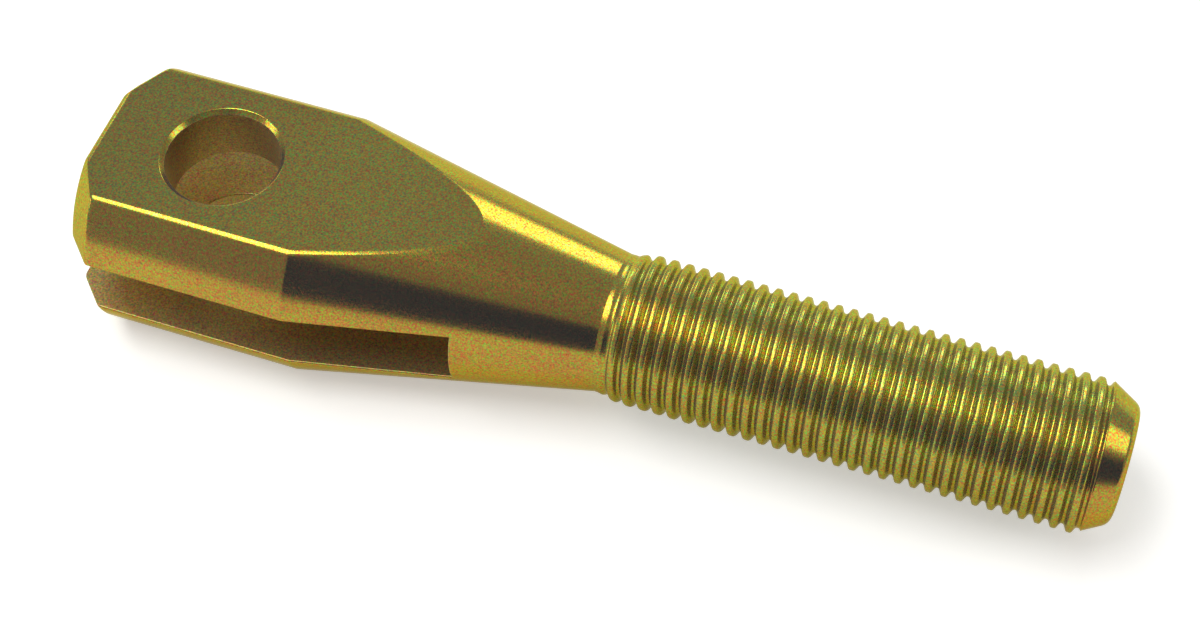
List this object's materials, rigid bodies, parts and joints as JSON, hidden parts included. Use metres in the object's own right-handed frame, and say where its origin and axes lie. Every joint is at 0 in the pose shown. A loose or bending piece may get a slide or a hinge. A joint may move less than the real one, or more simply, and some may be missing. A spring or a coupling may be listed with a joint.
{
  "type": "clevis",
  "caption": "Slotted clevis with milled flats, a chamfered cross hole through both ears, a tapered neck and a threaded shank.",
  "frame": {"origin": "middle of the pin hole, on the axis of the shank", "axes": "+X along the shank towards its tip, +Z along the pin hole, square to the milled flats, +Y across the slot"},
  "size_m": [0.0879, 0.0212, 0.0164],
  "materials": {
    "yellow_zinc_steel": "yellow chromate on zinc plated steel"
  },
  "bodies": {
    "root": {"clevis": "yellow_zinc_steel"}
  },
  "joints": []
}
